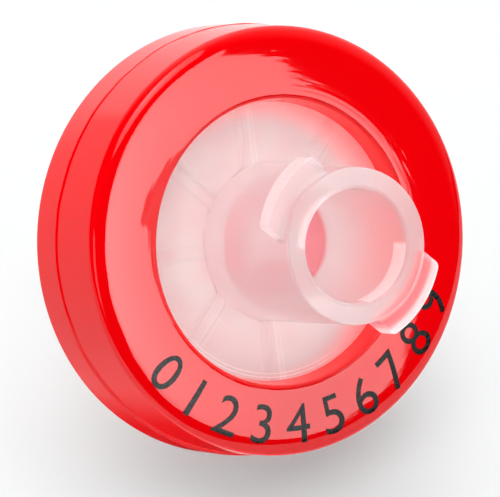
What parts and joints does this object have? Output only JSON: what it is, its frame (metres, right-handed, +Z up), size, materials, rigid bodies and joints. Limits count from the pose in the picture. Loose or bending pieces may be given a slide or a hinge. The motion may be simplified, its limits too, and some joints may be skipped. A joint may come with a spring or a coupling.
{
  "type": "syringe filter",
  "caption": "Disc syringe filter with a threaded-lug socket inlet, a tapered slip outlet, a clamped membrane and an overmoulded red ring.",
  "frame": {"origin": "centre of the bounding box on the bench the filter lies on", "axes": "+Z up from the bench, -Y the front, where the inlet points. The filter lies as it comes to rest, on the ring's edge and the outlet's tip, so its own axis leans: from the outlet's tip to the inlet it runs along (0, -0.8465, 0.5323)"},
  "size_m": [0.0166, 0.0196, 0.016],
  "materials": {
    "inlet_clear_polypropylene": "natural polypropylene, translucent and glossy as moulded, tinted pink by the ring round it",
    "outlet_clear_polypropylene": "natural polypropylene, translucent and glossy as moulded",
    "membrane_film": "white matt porous film",
    "red_polypropylene": "opaque red, glossy, with fine turning marks left by the mould on its faces and a fine parting line"
  },
  "bodies": {
    "root": {"inlet_hub": "inlet_clear_polypropylene", "inlet_plate": "inlet_clear_polypropylene", "outlet_nozzle": "outlet_clear_polypropylene", "outlet_plate": "outlet_clear_polypropylene", "membrane": "membrane_film", "overmould_ring": "red_polypropylene"}
  },
  "joints": []
}
